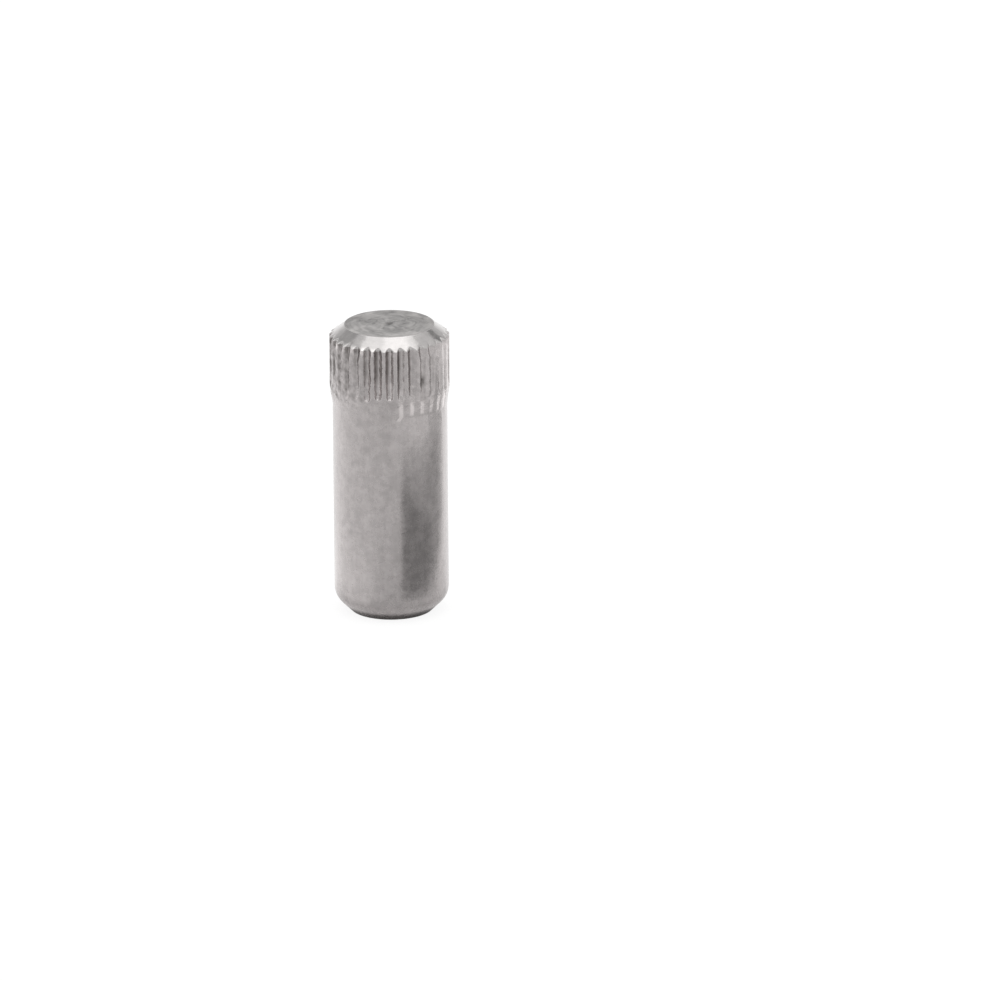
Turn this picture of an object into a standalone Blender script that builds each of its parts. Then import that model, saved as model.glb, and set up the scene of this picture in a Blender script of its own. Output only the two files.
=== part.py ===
"""A knurled steel pin, standing on its plain end.

The pin is one turned piece of stainless steel. A plain shank with a chamfered end carries a
short straight knurl at its other end, so that it bites when it is pressed into a hole.
The axis is +Z, the origin is the centre of the plain end, and lengths are in metres.
"""

import math

import bmesh
import bpy

# Turned blank
LENGTH = 0.0156
SHANK_DIAMETER = 0.0060
HEAD_CHAMFER_WIDTH = 0.00065  # radial, from the shank's surface to the knurled end's flat
HEAD_CHAMFER_ANGLE = math.radians(37)  # from the plane of the end face
FOOT_CHAMFER_WIDTH = 0.00085  # radial, from the shank's surface to the plain end's flat
FOOT_CHAMFER_ANGLE = math.radians(44)
FOOT_CORNER_RADIUS = 0.0011  # where the foot's chamfer meets the shank

# Parting-off mark at the centre of the knurled end
DIMPLE_DIAMETER = 0.00044
DIMPLE_DEPTH = 0.00005

# Straight knurl, rolled into the shank
KNURL_LENGTH = 0.0030  # from the end face to the end of the full-height teeth
KNURL_RUNOUT = 0.0012  # where the teeth sink back into the shank
KNURL_PITCH = 0.00059  # along the shank's circumference
RIDGE_HEIGHT = 0.00016  # crests above the shank's surface
GROOVE_DEPTH = 0.00007  # roots below the shank's surface
GROOVE_ANGLE = math.radians(56)  # between a groove's two flanks
GROOVE_ROOT_RADIUS = 0.0002

# How finely round shapes are divided
FACETS_PER_TOOTH = 4
CORNER_SEGMENTS = 4
GROOVE_ROOT_SEGMENTS = 8
RUNOUT_SEGMENTS = 4
SHARP_EDGE_ANGLE = math.radians(20)  # an edge that turns by more than this is shaded as a corner

# How far a cutter reaches past the surface that it cuts
CUTTER_MARGIN = 0.00003

STEEL_COLOUR = (0.462, 0.434, 0.43, 1.0)
STEEL_ROUGHNESS = 0.32

shank_radius = SHANK_DIAMETER / 2
head_flat_radius = shank_radius - HEAD_CHAMFER_WIDTH
foot_flat_radius = shank_radius - FOOT_CHAMFER_WIDTH
crest_radius = shank_radius + RIDGE_HEIGHT
root_radius = shank_radius - GROOVE_DEPTH
tooth_count = round(math.pi * SHANK_DIAMETER / KNURL_PITCH)
knurl_end_z = LENGTH - KNURL_LENGTH


def new_collection(name):
    collection = bpy.data.collections.new(name)
    bpy.context.scene.collection.children.link(collection)
    return collection


def steel():
    """The finish of the whole pin: ground stainless steel, neither bright nor dull."""
    material = bpy.data.materials.new("stainless_steel")
    material.use_nodes = True
    shader = material.node_tree.nodes["Principled BSDF"]
    shader.inputs["Base Color"].default_value = STEEL_COLOUR
    shader.inputs["Metallic"].default_value = 1.0
    shader.inputs["Roughness"].default_value = STEEL_ROUGHNESS
    return material


def foot_corner():
    """The rounded corner where the shank meets the foot's chamfer, from the shank down."""
    sweep = math.pi / 2 - FOOT_CHAMFER_ANGLE
    corner_z = FOOT_CHAMFER_WIDTH * math.tan(FOOT_CHAMFER_ANGLE)
    centre_r = shank_radius - FOOT_CORNER_RADIUS
    centre_z = corner_z + FOOT_CORNER_RADIUS * math.tan(sweep / 2)
    for step in range(CORNER_SEGMENTS + 1):
        angle = sweep * step / CORNER_SEGMENTS
        radius = centre_r + FOOT_CORNER_RADIUS * math.cos(angle)
        height = centre_z - FOOT_CORNER_RADIUS * math.sin(angle)
        yield radius, height


def blank_profile():
    """Half the blank's outline as (radius, height), from the middle of the top face down."""
    head_chamfer_height = (crest_radius - head_flat_radius) * math.tan(HEAD_CHAMFER_ANGLE)
    return [
        (0.0, LENGTH - DIMPLE_DEPTH),
        (DIMPLE_DIAMETER / 2, LENGTH),
        (head_flat_radius, LENGTH),
        (crest_radius, LENGTH - head_chamfer_height),
        (crest_radius, knurl_end_z),
        (shank_radius, knurl_end_z - KNURL_RUNOUT),
        *foot_corner(),
        (foot_flat_radius, 0.0),
        (0.0, 0.0),
    ]


def turned_blank(collection):
    """The pin before its grooves: the profile turned about the axis."""
    profile = bmesh.new()
    points = [profile.verts.new((radius, 0.0, height)) for radius, height in blank_profile()]
    for upper, lower in zip(points, points[1:]):
        profile.edges.new((upper, lower))
    mesh = bpy.data.meshes.new("knurled_pin")
    profile.to_mesh(mesh)
    profile.free()
    pin = bpy.data.objects.new("knurled_pin", mesh)
    collection.objects.link(pin)

    turn = pin.modifiers.new("turn", "SCREW")
    turn.axis = "Z"
    turn.steps = turn.render_steps = FACETS_PER_TOOTH * tooth_count
    turn.use_merge_vertices = True
    turn.merge_threshold = 1e-6
    return pin


def groove_section(root, outer):
    """A groove across its length as (radius, sideways) points: two flanks and a round root."""
    half_angle = GROOVE_ANGLE / 2
    sweep = math.pi / 2 - half_angle
    centre = root + GROOVE_ROOT_RADIUS
    arc = []
    for step in range(GROOVE_ROOT_SEGMENTS + 1):
        angle = sweep * (2 * step / GROOVE_ROOT_SEGMENTS - 1)
        arc.append((centre - GROOVE_ROOT_RADIUS * math.cos(angle), GROOVE_ROOT_RADIUS * math.sin(angle)))
    flank_r, flank_y = arc[-1]
    half_width = flank_y + (outer - flank_r) * math.tan(half_angle)
    return [(outer, -half_width), *arc, (outer, half_width)]


def groove_stations():
    """A groove's root as (radius, height): straight down the knurl, then curving out of the shank."""
    yield root_radius, LENGTH + CUTTER_MARGIN
    exit_climb = GROOVE_DEPTH + CUTTER_MARGIN
    exit_length = KNURL_RUNOUT * math.sqrt(exit_climb / GROOVE_DEPTH)
    for step in range(RUNOUT_SEGMENTS + 1):
        share = step / RUNOUT_SEGMENTS
        yield root_radius + exit_climb * share**2, knurl_end_z - exit_length * share


def groove_cutter_mesh():
    """A cutter for one groove: its section carried along its stations."""
    outer = crest_radius + CUTTER_MARGIN
    cutter = bmesh.new()
    rings = []
    for root, height in groove_stations():
        section = groove_section(root, outer)
        rings.append([cutter.verts.new((radius, sideways, height)) for radius, sideways in section])
    for upper, lower in zip(rings, rings[1:]):
        for i in range(len(upper)):
            cutter.faces.new((upper[i - 1], upper[i], lower[i], lower[i - 1]))
    cutter.faces.new(rings[0])
    cutter.faces.new(rings[-1])
    bmesh.ops.recalc_face_normals(cutter, faces=cutter.faces)
    mesh = bpy.data.meshes.new("groove_cutter")
    cutter.to_mesh(mesh)
    cutter.free()
    return mesh


def cut_knurl(pin, cutters):
    """Cuts all the grooves with one cutter shape, which leaves a tooth between each two."""
    mesh = groove_cutter_mesh()
    for tooth in range(tooth_count):
        cutter = bpy.data.objects.new(f"groove_cutter_{tooth:02d}", mesh)
        cutter.rotation_euler.z = math.tau * tooth / tooth_count
        cutter.display_type = "WIRE"
        cutter.hide_render = True
        cutters.objects.link(cutter)
    grooves = pin.modifiers.new("knurl_grooves", "BOOLEAN")
    grooves.operation = "DIFFERENCE"
    grooves.solver = "EXACT"
    grooves.operand_type = "COLLECTION"
    grooves.collection = cutters


def shade_smooth_by_angle(pin):
    """Shades the pin smooth, apart from its corners."""
    tree = bpy.data.node_groups.new("smooth_by_angle", "GeometryNodeTree")
    tree.interface.new_socket("Mesh", in_out="INPUT", socket_type="NodeSocketGeometry")
    tree.interface.new_socket("Mesh", in_out="OUTPUT", socket_type="NodeSocketGeometry")
    unshaded = tree.nodes.new("NodeGroupInput")
    shaded = tree.nodes.new("NodeGroupOutput")
    smooth_faces = tree.nodes.new("GeometryNodeSetShadeSmooth")
    sharp_corners = tree.nodes.new("GeometryNodeSetShadeSmooth")
    sharp_corners.domain = "EDGE"
    edge_angle = tree.nodes.new("GeometryNodeInputMeshEdgeAngle")
    is_smooth = tree.nodes.new("FunctionNodeCompare")
    is_smooth.operation = "LESS_THAN"
    is_smooth.inputs["B"].default_value = SHARP_EDGE_ANGLE
    tree.links.new(unshaded.outputs["Mesh"], smooth_faces.inputs["Geometry"])
    tree.links.new(smooth_faces.outputs["Geometry"], sharp_corners.inputs["Geometry"])
    tree.links.new(edge_angle.outputs["Unsigned Angle"], is_smooth.inputs["A"])
    tree.links.new(is_smooth.outputs["Result"], sharp_corners.inputs["Shade Smooth"])
    tree.links.new(sharp_corners.outputs["Geometry"], shaded.inputs["Mesh"])
    shading = pin.modifiers.new("smooth_by_angle", "NODES")
    shading.node_group = tree


for old in list(bpy.data.objects):
    bpy.data.objects.remove(old)

knurled_pin = turned_blank(new_collection("knurled_pin"))
knurled_pin.data.materials.append(steel())
cut_knurl(knurled_pin, new_collection("cutters"))
shade_smooth_by_angle(knurled_pin)
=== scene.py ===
import math

import bpy
import numpy as np
from mathutils import Matrix, Vector


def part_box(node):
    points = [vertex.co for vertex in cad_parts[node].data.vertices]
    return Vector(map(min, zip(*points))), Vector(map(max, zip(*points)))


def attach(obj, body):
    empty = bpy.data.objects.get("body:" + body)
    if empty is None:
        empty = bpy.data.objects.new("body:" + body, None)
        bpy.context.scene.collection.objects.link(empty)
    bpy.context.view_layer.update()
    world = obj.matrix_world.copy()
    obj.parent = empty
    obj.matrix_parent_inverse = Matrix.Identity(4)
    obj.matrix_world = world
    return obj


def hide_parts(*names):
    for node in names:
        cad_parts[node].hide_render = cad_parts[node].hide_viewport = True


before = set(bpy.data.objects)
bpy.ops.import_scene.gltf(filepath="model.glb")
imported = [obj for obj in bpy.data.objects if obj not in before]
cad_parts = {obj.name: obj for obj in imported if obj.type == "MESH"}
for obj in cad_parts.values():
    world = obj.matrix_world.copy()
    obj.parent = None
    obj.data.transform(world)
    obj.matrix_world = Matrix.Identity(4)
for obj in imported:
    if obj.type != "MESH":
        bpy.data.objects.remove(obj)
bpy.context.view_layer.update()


# The camera stands a metre off and looks a little down on the pin, through a long lens that
# keeps the pin's sides almost parallel. The pin is left of the middle of the picture and leans in
# it by half a degree, because the camera isn't quite level.
MM = 0.001
PICTURE_PIXELS = 981
PIXELS_PER_MM = 19.1
PIN_MIDDLE_PIXEL = (390.6, 465.45)
CAMERA_DISTANCE = 1000 * MM
CAMERA_ELEVATION = math.radians(18.3)
CAMERA_ROLL = math.radians(-0.47)
NEAREST_SEEN, FARTHEST_SEEN = 10 * MM, 10000 * MM

_, pin_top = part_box("knurled_pin")
pin_length = pin_top.z
to_camera = Vector((0, -math.cos(CAMERA_ELEVATION), math.sin(CAMERA_ELEVATION)))
level_up = Vector((0, math.sin(CAMERA_ELEVATION), math.cos(CAMERA_ELEVATION)))
level_right = Vector((1, 0, 0))
camera_right = level_right * math.cos(CAMERA_ROLL) + level_up * math.sin(CAMERA_ROLL)
camera_up = level_up * math.cos(CAMERA_ROLL) - level_right * math.sin(CAMERA_ROLL)
pixel = MM / PIXELS_PER_MM
picture_middle = (
    Vector((0, 0, pin_length / 2))
    + camera_right * (PICTURE_PIXELS / 2 - PIN_MIDDLE_PIXEL[0]) * pixel
    - camera_up * (PICTURE_PIXELS / 2 - PIN_MIDDLE_PIXEL[1]) * pixel
)

camera_data = bpy.data.cameras.new("camera")
camera_data.lens = camera_data.sensor_width * CAMERA_DISTANCE / (PICTURE_PIXELS * pixel)
camera_data.clip_start = NEAREST_SEEN
camera_data.clip_end = FARTHEST_SEEN
camera = bpy.data.objects.new("camera", camera_data)
camera_place = picture_middle + to_camera * CAMERA_DISTANCE
camera_turn = Matrix((camera_right, camera_up, to_camera)).transposed().to_4x4()
camera.matrix_world = Matrix.Translation(camera_place) @ camera_turn
bpy.context.scene.collection.objects.link(camera)
bpy.context.scene.camera = camera


# The pin is one bar of stainless steel. It was turned, chamfered at both ends and parted off, and a
# straight knurl was rolled round one end. The roller pushed the teeth up above the shank, tore their
# lower ends a little, and left a run-out where the grooves climb out of the steel.
SHANK_RADIUS = 3.0 * MM
CREST_RADIUS = 3.15 * MM
ROOT_RADIUS = 2.93 * MM
HEAD_FLAT_RADIUS = 2.35 * MM
HEAD_CHAMFER_ANGLE = math.radians(37)
HEAD_EDGE_ROUNDING = 0.06 * MM
TOOTH_TIP_ROUNDING = 0.08 * MM
FOOT_FLAT_RADIUS = 2.15 * MM
FOOT_CHAMFER_ANGLE = math.radians(44)
FOOT_CORNER_ROUNDING = 1.1 * MM
FOOT_EDGE_ROUNDING = 0.025 * MM
RIM_WIDTH = 0.1 * MM  # the outermost ring of each end face
TEETH = 32
KNURL_LENGTH = 3.2 * MM
KNURL_RUNOUT = 1.1 * MM
RUNOUT_ROUNDING = 0.6 * MM
KNURLED_STRETCH = 4.8 * MM  # how far down the side the knurl's columns of points go
ARC_STEP_ANGLE = math.radians(8)
HAIR = 0.001 * MM  # a difference in height that doesn't count

random = np.random.default_rng(32)


def turned_outline(corners):
    """(radius, height) points down an outline whose corners are (radius, height, rounding, spacing).

    Each corner is rounded off, and the straight run after it is divided by its spacing."""
    places = [np.array(corner[:2]) for corner in corners]
    points = [places[0]]
    for i in range(1, len(corners)):
        run = places[i] - places[i - 1]
        along = run / np.linalg.norm(run)
        cut = 0.0
        if i < len(corners) - 1:
            onward = places[i + 1] - places[i]
            onward = onward / np.linalg.norm(onward)
            turn = math.acos(float(np.clip(along @ onward, -1, 1)))
            cut = corners[i][2] * math.tan(turn / 2)
        start, end = points[-1], places[i] - along * cut
        steps = max(1, round(float(np.linalg.norm(end - start)) / corners[i - 1][3]))
        points.extend(start + (end - start) * step / steps for step in range(1, steps + 1))
        if cut:
            beyond = places[i] + onward * cut
            arc_steps = max(2, round(turn / ARC_STEP_ANGLE))
            for step in range(1, arc_steps + 1):
                t = step / arc_steps
                points.append((1 - t) ** 2 * end + 2 * t * (1 - t) * places[i] + t**2 * beyond)
    return np.array(points)


head_corner_z = pin_length - (CREST_RADIUS - HEAD_FLAT_RADIUS) * math.tan(HEAD_CHAMFER_ANGLE)
foot_corner_z = (SHANK_RADIUS - FOOT_FLAT_RADIUS) * math.tan(FOOT_CHAMFER_ANGLE)
outline = turned_outline([
    (HEAD_FLAT_RADIUS - RIM_WIDTH, pin_length, 0, 0.05 * MM),
    (HEAD_FLAT_RADIUS, pin_length, HEAD_EDGE_ROUNDING, 0.07 * MM),
    (CREST_RADIUS, head_corner_z, TOOTH_TIP_ROUNDING, 0.09 * MM),
    (CREST_RADIUS, pin_length - KNURL_LENGTH, RUNOUT_ROUNDING, 0.03 * MM),
    (SHANK_RADIUS, pin_length - KNURL_LENGTH - KNURL_RUNOUT, RUNOUT_ROUNDING, 0.045 * MM),
    (SHANK_RADIUS, pin_length - KNURLED_STRETCH, 0, 0.5 * MM),
    (SHANK_RADIUS, foot_corner_z, FOOT_CORNER_ROUNDING, 0.06 * MM),
    (FOOT_FLAT_RADIUS, 0, FOOT_EDGE_ROUNDING, 0.05 * MM),
    (FOOT_FLAT_RADIUS - RIM_WIDTH, 0, 0, 0.05 * MM),
])
in_knurl = pin_length - outline[:, 1] < KNURLED_STRETCH + HAIR
knurl_rows, shank_rows = outline[in_knurl], outline[~in_knurl]
blank_radius = knurl_rows[:, 0][:, None]
height = knurl_rows[:, 1][:, None]
below = pin_length - height

# Each groove has its own course, depth and end. What changes round the pin is given at degrees to
# the right of its front, as two rows: the degrees, and the value there.
GROOVE_WANDER, GROOVE_WANDER_LENGTHS = 0.016 * MM, (1.9 * MM, 0.9 * MM, 0.47 * MM)
WANDER_SHARES = (0.4, 1.0)
GROOVE_PLACE_SPREAD = 0.006 * MM
GROOVE_ROUNDING = 0.15 * MM
CREST_ROUNDING = 0.05 * MM
LEFT_FLANK_ROUND_THE_PIN = ((-180, 12, 23, 34, 60, 90), (28, 28, 43, 42, 42, 28))  # degrees
RIGHT_FLANK_ANGLE = math.radians(43)
DEPTH_WANDER, DEPTH_WANDER_LENGTHS = 0.008 * MM, (1.3 * MM, 0.6 * MM)
SHALLOWER_ROUND_THE_PIN = (  # millimetres
    (-90, -66, -34, -22, -14, 14, 23, 34, 70, 90),
    (0.06, 0.14, 0.11, 0.03, 0, 0, 0.04, 0.13, 0.13, 0.03),
)
SHALLOWER_FROM, SHALLOWER_FULLY = 0.5 * MM, 1.3 * MM  # below the top
GROOVE_END_ROUND_THE_PIN = ((0, 11, 34, 60, 90), (3.09, 2.87, 2.68, 2.77, 3.12))  # millimetres
GROOVE_END_SPREAD = 0.05 * MM
CLIMB_BEFORE_END = 0.045 * MM
CLIMB_FROM, CLIMB_TO = 2.0 * MM, 3.0 * MM  # below the top
END_WALL_CURVE = 0.15 * MM
END_WALL_SLOPE = 1.15


def smooth_step(value, start, end):
    """0 before the start and 1 past the end, with a smooth rise between them."""
    share = np.clip((value - start) / (end - start), 0, 1)
    return share * share * (3 - 2 * share)


def wander(amplitude, wavelengths):
    """A smooth wandering of each groove along its length, as (rows, grooves)."""
    total = np.zeros((len(knurl_rows), TEETH))
    for wavelength in wavelengths:
        phase = random.uniform(0, math.tau, TEETH)
        share = random.uniform(*WANDER_SHARES, TEETH) / len(wavelengths)
        total += share * np.sin(math.tau * below / wavelength + phase)
    return amplitude * total


def end_wall(past):
    """How far a groove's floor has climbed at a distance past its end."""
    past = np.maximum(past, 0)
    curved = np.minimum(past, END_WALL_CURVE)
    return END_WALL_SLOPE * (curved**2 / (2 * END_WALL_CURVE) + past - curved)


pitch_angle = math.tau / TEETH
tooth_angle = pitch_angle * np.arange(TEETH)
groove_degrees = np.degrees((tooth_angle + math.pi / 2 + math.pi) % math.tau - math.pi)


def at_each_groove(round_the_pin):
    """The value at each groove of what changes round the pin."""
    return np.interp(groove_degrees, *round_the_pin)


groove_shift = wander(GROOVE_WANDER, GROOVE_WANDER_LENGTHS)
groove_shift += random.normal(0, GROOVE_PLACE_SPREAD, TEETH)
groove_end = MM * at_each_groove(GROOVE_END_ROUND_THE_PIN) + random.normal(0, GROOVE_END_SPREAD, TEETH)
shallower = MM * at_each_groove(SHALLOWER_ROUND_THE_PIN)
groove_root = ROOT_RADIUS + shallower * smooth_step(below, SHALLOWER_FROM, SHALLOWER_FULLY)
groove_root = groove_root + wander(DEPTH_WANDER, DEPTH_WANDER_LENGTHS)
past_end = below - groove_end
climb = CLIMB_BEFORE_END * smooth_step(below, CLIMB_FROM, CLIMB_TO)
rolled_root = groove_root + climb + end_wall(past_end)

# On the right the roller lifted early. Below the end of each groove there it left a torn ridge and
# then a tail, which is a shallow mark with a flat floor. The first tail is long and bends. Behind,
# here and there, a groove has a tail too.
TAILS_FROM, TAILS_TO = 5, 75  # degrees to the right of the front
BEHIND_FROM = 100  # degrees to either side of the front
TAILED_SHARE_BEHIND = 0.4
TAIL_START, TAIL_END, TAIL_END_SPREAD = 3.3 * MM, 4.2 * MM, 0.03 * MM
TAIL_DEPTH = 0.01 * MM
TAIL_END_RISE = 0.005 * MM  # how far the floor ends outside the blank
TAIL_CURVE = 1.7
TAIL_FLAT, TAIL_ROUNDING = 0.08 * MM, 0.06 * MM
TAIL_FLANK_ANGLE, TAIL_FLANK_CURVE = math.radians(56), 3
TAIL_BLEND_FROM, TAIL_BLEND_TO = 0.05 * MM, 0.6 * MM  # past the groove's end
LONG_TAIL_DEGREES = 11
LONG_TAIL_EXTRA = 0.3 * MM
LONG_TAIL_BEND = 0.15 * MM
LONG_TAIL_BENDS_FROM = 0.7  # of its length
TORN_RIDGE_HEIGHT, TORN_RIDGE_WIDTH = 0.03 * MM, 0.16 * MM
TORN_RIDGE_PLACE = 0.1 * MM  # past the groove's end
TORN_RIDGE_SHARES = (0.6, 1.3)


def is_groove_at(degrees):
    """Which groove is the nearest to a place round the pin."""
    return np.abs(groove_degrees - degrees) < 180 / TEETH


on_the_right = (groove_degrees > TAILS_FROM) & (groove_degrees < TAILS_TO)
behind = np.abs(groove_degrees) > BEHIND_FROM
has_tail = on_the_right | (behind & (random.random(TEETH) < TAILED_SHARE_BEHIND))
is_long = has_tail & is_groove_at(LONG_TAIL_DEGREES)
tail_end = TAIL_END + random.normal(0, TAIL_END_SPREAD, TEETH) + LONG_TAIL_EXTRA * is_long
along_tail = np.clip((below - TAIL_START) / (tail_end - TAIL_START), 0, 2)
tail_root = blank_radius + TAIL_END_RISE - TAIL_DEPTH * (1 - along_tail**TAIL_CURVE)
past_ridge = smooth_step(past_end, TAIL_BLEND_FROM, TAIL_BLEND_TO)
ridge = np.exp(-(((past_end - TORN_RIDGE_PLACE) / TORN_RIDGE_WIDTH) ** 2))
ridge = ridge * TORN_RIDGE_HEIGHT * random.uniform(*TORN_RIDGE_SHARES, TEETH)
lifted_root = groove_root + (tail_root - groove_root) * past_ridge + ridge
groove_root = np.where(has_tail, lifted_root, rolled_root)

in_tail = past_ridge * has_tail
flat = TAIL_FLAT * in_tail
rounding = GROOVE_ROUNDING + (TAIL_ROUNDING - GROOVE_ROUNDING) * in_tail
left_flank = np.radians(at_each_groove(LEFT_FLANK_ROUND_THE_PIN))
left_flank = left_flank + (TAIL_FLANK_ANGLE - left_flank) * in_tail**TAIL_FLANK_CURVE
groove_shift = groove_shift - LONG_TAIL_BEND * is_long * smooth_step(along_tail, LONG_TAIL_BENDS_FROM, 1)
groove_angle = tooth_angle + groove_shift / SHANK_RADIUS

# Across each tooth, most columns of points follow the groove, from -1 at its left edge to 1 at its
# right edge, and the rest divide the crest, from 0 at its left edge to 1 at its right edge. Below the
# tails the columns spread out evenly again.
ACROSS_GROOVE = np.array([-1, -0.92, -0.79, -0.62, -0.43, -0.22, 0, 0.22, 0.43, 0.62, 0.79, 0.92, 1])
ACROSS_CREST = np.array([0.13, 0.3, 0.5, 0.7, 0.87])
LEAST_REACH = 0.05 * MM
COLUMNS = TEETH * (len(ACROSS_GROOVE) + len(ACROSS_CREST))
EVEN_COLUMNS_FROM = 4.5 * MM  # below the top


def groove_surface(across, root, flat, rounding, left_flank):
    """How far out a groove's surface lies at a distance across it: a round root and two flanks."""
    flank_angle = np.where(across < 0, left_flank, RIGHT_FLANK_ANGLE)
    flank_start = rounding * np.cos(flank_angle)
    across = np.maximum(np.abs(across) - flat, 0)
    inside = np.minimum(across, flank_start)
    arc = root + rounding - np.sqrt(rounding**2 - inside**2)
    return arc + np.maximum(across - flank_start, 0) / np.tan(flank_angle)


def groove_reach(depth, flat, rounding, flank_angle):
    """How far a groove of a given depth reaches to one side of its root."""
    arc_depth = rounding * (1 - np.sin(flank_angle))
    on_arc = np.clip(depth, 0, arc_depth)
    arc_reach = np.sqrt(on_arc * (2 * rounding - on_arc))
    reach = flat + arc_reach + np.maximum(depth - arc_depth, 0) * np.tan(flank_angle)
    return np.maximum(reach, LEAST_REACH)


def rounded_lower(first, second, rounding):
    """The lower of two surfaces, with the corner between them rounded off."""
    share = np.clip(0.5 + 0.5 * (first - second) / rounding, 0, 1)
    return first * (1 - share) + second * share - rounding * share * (1 - share)


groove_depth = blank_radius - groove_root
left_reach = groove_reach(groove_depth, flat, rounding, left_flank)
right_reach = groove_reach(groove_depth, flat, rounding, RIGHT_FLANK_ANGLE)
reach = np.where(ACROSS_GROOVE < 0, left_reach[:, :, None], right_reach[:, :, None])
groove_across = ACROSS_GROOVE * reach
groove_columns = groove_angle[:, :, None] + groove_across / SHANK_RADIUS
next_angle = np.roll(groove_angle, -1, axis=1) + math.tau * (np.arange(TEETH) == TEETH - 1)
crest_start = groove_angle + right_reach / SHANK_RADIUS
crest_end = next_angle - np.roll(left_reach, -1, axis=1) / SHANK_RADIUS
crest_columns = crest_start[:, :, None] + (crest_end - crest_start)[:, :, None] * ACROSS_CREST
from_this = (crest_columns - groove_angle[:, :, None]) * SHANK_RADIUS
from_next = (crest_columns - next_angle[:, :, None]) * SHANK_RADIUS


def all_columns(in_groove, on_crest):
    """Values at every column of points, from those in the grooves and those on the crests."""
    on_crest = np.broadcast_to(on_crest, crest_columns.shape)
    return np.concatenate([in_groove, on_crest], axis=2).reshape(len(knurl_rows), COLUMNS)


section = [value[:, :, None] for value in (groove_root, flat, rounding, left_flank)]
next_section = [np.roll(value, -1, axis=1) for value in section]
in_groove = groove_surface(groove_across, *section)
on_crest = np.minimum(groove_surface(from_this, *section), groove_surface(from_next, *next_section))
cut = all_columns(in_groove, on_crest)
radius = rounded_lower(cut, np.broadcast_to(blank_radius, cut.shape), CREST_ROUNDING)
angle = all_columns(groove_columns, crest_columns)
even_angle = math.tau * np.arange(COLUMNS) / COLUMNS + angle[-1, 0]
angle = angle + (even_angle - angle) * smooth_step(below, EVEN_COLUMNS_FROM, KNURLED_STRETCH)
degrees_right = (np.degrees(angle) + 90 + 180) % 360 - 180

# Painted shade darkens the grooves, mostly along the left side of each, painted shadow darkens their mouths
# under the chamfer, and darker blotches lie thinly over the knurl.
# What changes across a groove has one value for each of its columns, and what changes down the pin is
# given at millimetres below the top. A span says where it starts, is full from and to, and ends.
GROOVE_SHADE_ACROSS = np.array([0.15, 0.4, 0.7, 0.82, 0.86, 0.68, 0.32, 0.12, 0.05, 0, 0, 0, 0])
GROOVE_SHADE_ROUND_THE_PIN = (
    (-180, -100, -60, -34, -22, -12, 12, 18, 26, 36, 90, 130, 180),
    (0.5, 0.4, 0.3, 0.3, 0.6, 1.0, 1.0, 0.8, 0.4, 0.12, 0.1, 0.4, 0.5),
)
GROOVE_SHADE_DOWN_THE_PIN = ((0.3, 0.6, 1.0, 1.8, 2.15, 2.7, 2.95), (0.6, 1.0, 0.95, 0.88, 0.55, 0.3, 0.0))
GROOVE_SHADE_WANDER, GROOVE_SHADE_WANDER_LENGTHS = 0.3, (1.4 * MM, 0.5 * MM)
MOUTH_SHADOW_ROUND_THE_PIN = ((-100, -80, -40, -20, 0), (0, 0.75, 0.7, 0.5, 0))
MOUTH_SPAN = (0.35 * MM, 0.6 * MM, 0.8 * MM, 1.15 * MM)
BLOTCHES_ROUND_THE_PIN = (
    (-180, -120, -90, -58, -40, -20, 12, 30, 50, 70),
    (0.05, 0.12, 0.36, 0.33, 0.22, 0.06, 0.02, 0.14, 0.12, 0.05),
)
KNURL_SPAN = (0.5 * MM, 0.8 * MM, 3.2 * MM, 3.9 * MM)
BLOTCH_MEAN, BLOTCH_MOST = 0.9, 3
BLOTCH_LAYERS = ((0.55, 0.6 * MM), (0.45, 0.3 * MM))


def span(value, start, full_from, full_to, end):
    """1 from full_from to full_to, with a smooth rise before it and a smooth fall after it."""
    return smooth_step(value, start, full_from) * smooth_step(value, end, full_to)


# Painted shade in the grooves, heaviest at the front grooves and along each groove's left side.
groove_shade_along = at_each_groove(GROOVE_SHADE_ROUND_THE_PIN) * np.interp(below / MM, *GROOVE_SHADE_DOWN_THE_PIN)
groove_shade_along = groove_shade_along * (1 + wander(GROOVE_SHADE_WANDER, GROOVE_SHADE_WANDER_LENGTHS))
# Painted shadow in the mouths of the grooves, just under the chamfer.
mouth_shadow = at_each_groove(MOUTH_SHADOW_ROUND_THE_PIN) * span(below, *MOUTH_SPAN)
painted_shade_and_blotches = all_columns(np.maximum(groove_shade_along, mouth_shadow)[:, :, None] * GROOVE_SHADE_ACROSS, 0)
on_knurl = span(below, *KNURL_SPAN)

# The tails are lighter, partly burnished by the roller and partly a painted highlight. The walls at the
# grooves' ends, the right walls of the front grooves, the tips of the teeth on the left and the whole right
# side have painted highlights.
TAIL_SHINE_SPAN = (0, 0.25, 0.9, 1.05)  # of the tail's length
TAIL_SHINE_EDGE = (0.13 * MM, 0.07 * MM)  # from the middle of the groove
BRIGHTEST_TAIL_DEGREES, BRIGHTEST_TAIL_EXTRA = 56, 0.8
END_WALL_SHINE = 0.25
END_WALL_SPAN = (0, 0.08 * MM, 0.18 * MM, 0.3 * MM)  # past the groove's end
WALL_SHINE_ACROSS_GROOVE = np.array([0, 0, 0, 0, 0, 0, 0, 0.7, 1.7, 0.5, 0, 0, 0])
WALL_SHINE_ROUND_THE_PIN = ((-34, -24, 4, 16), (0, 1, 1, 0))
WALL_SHINE_RISE = (0.55 * MM, 0.75 * MM)  # below the top
WALL_SHINE_FALL = (0.3 * MM, -0.1 * MM)  # past the groove's end
TIP_SHINE_ROUND_THE_PIN = ((-78, -62, -25, -12), (0, 1.5, 1.2, 0))
TIP_SPAN = (0.4 * MM, 0.55 * MM, 0.7 * MM, 0.95 * MM)
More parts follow.
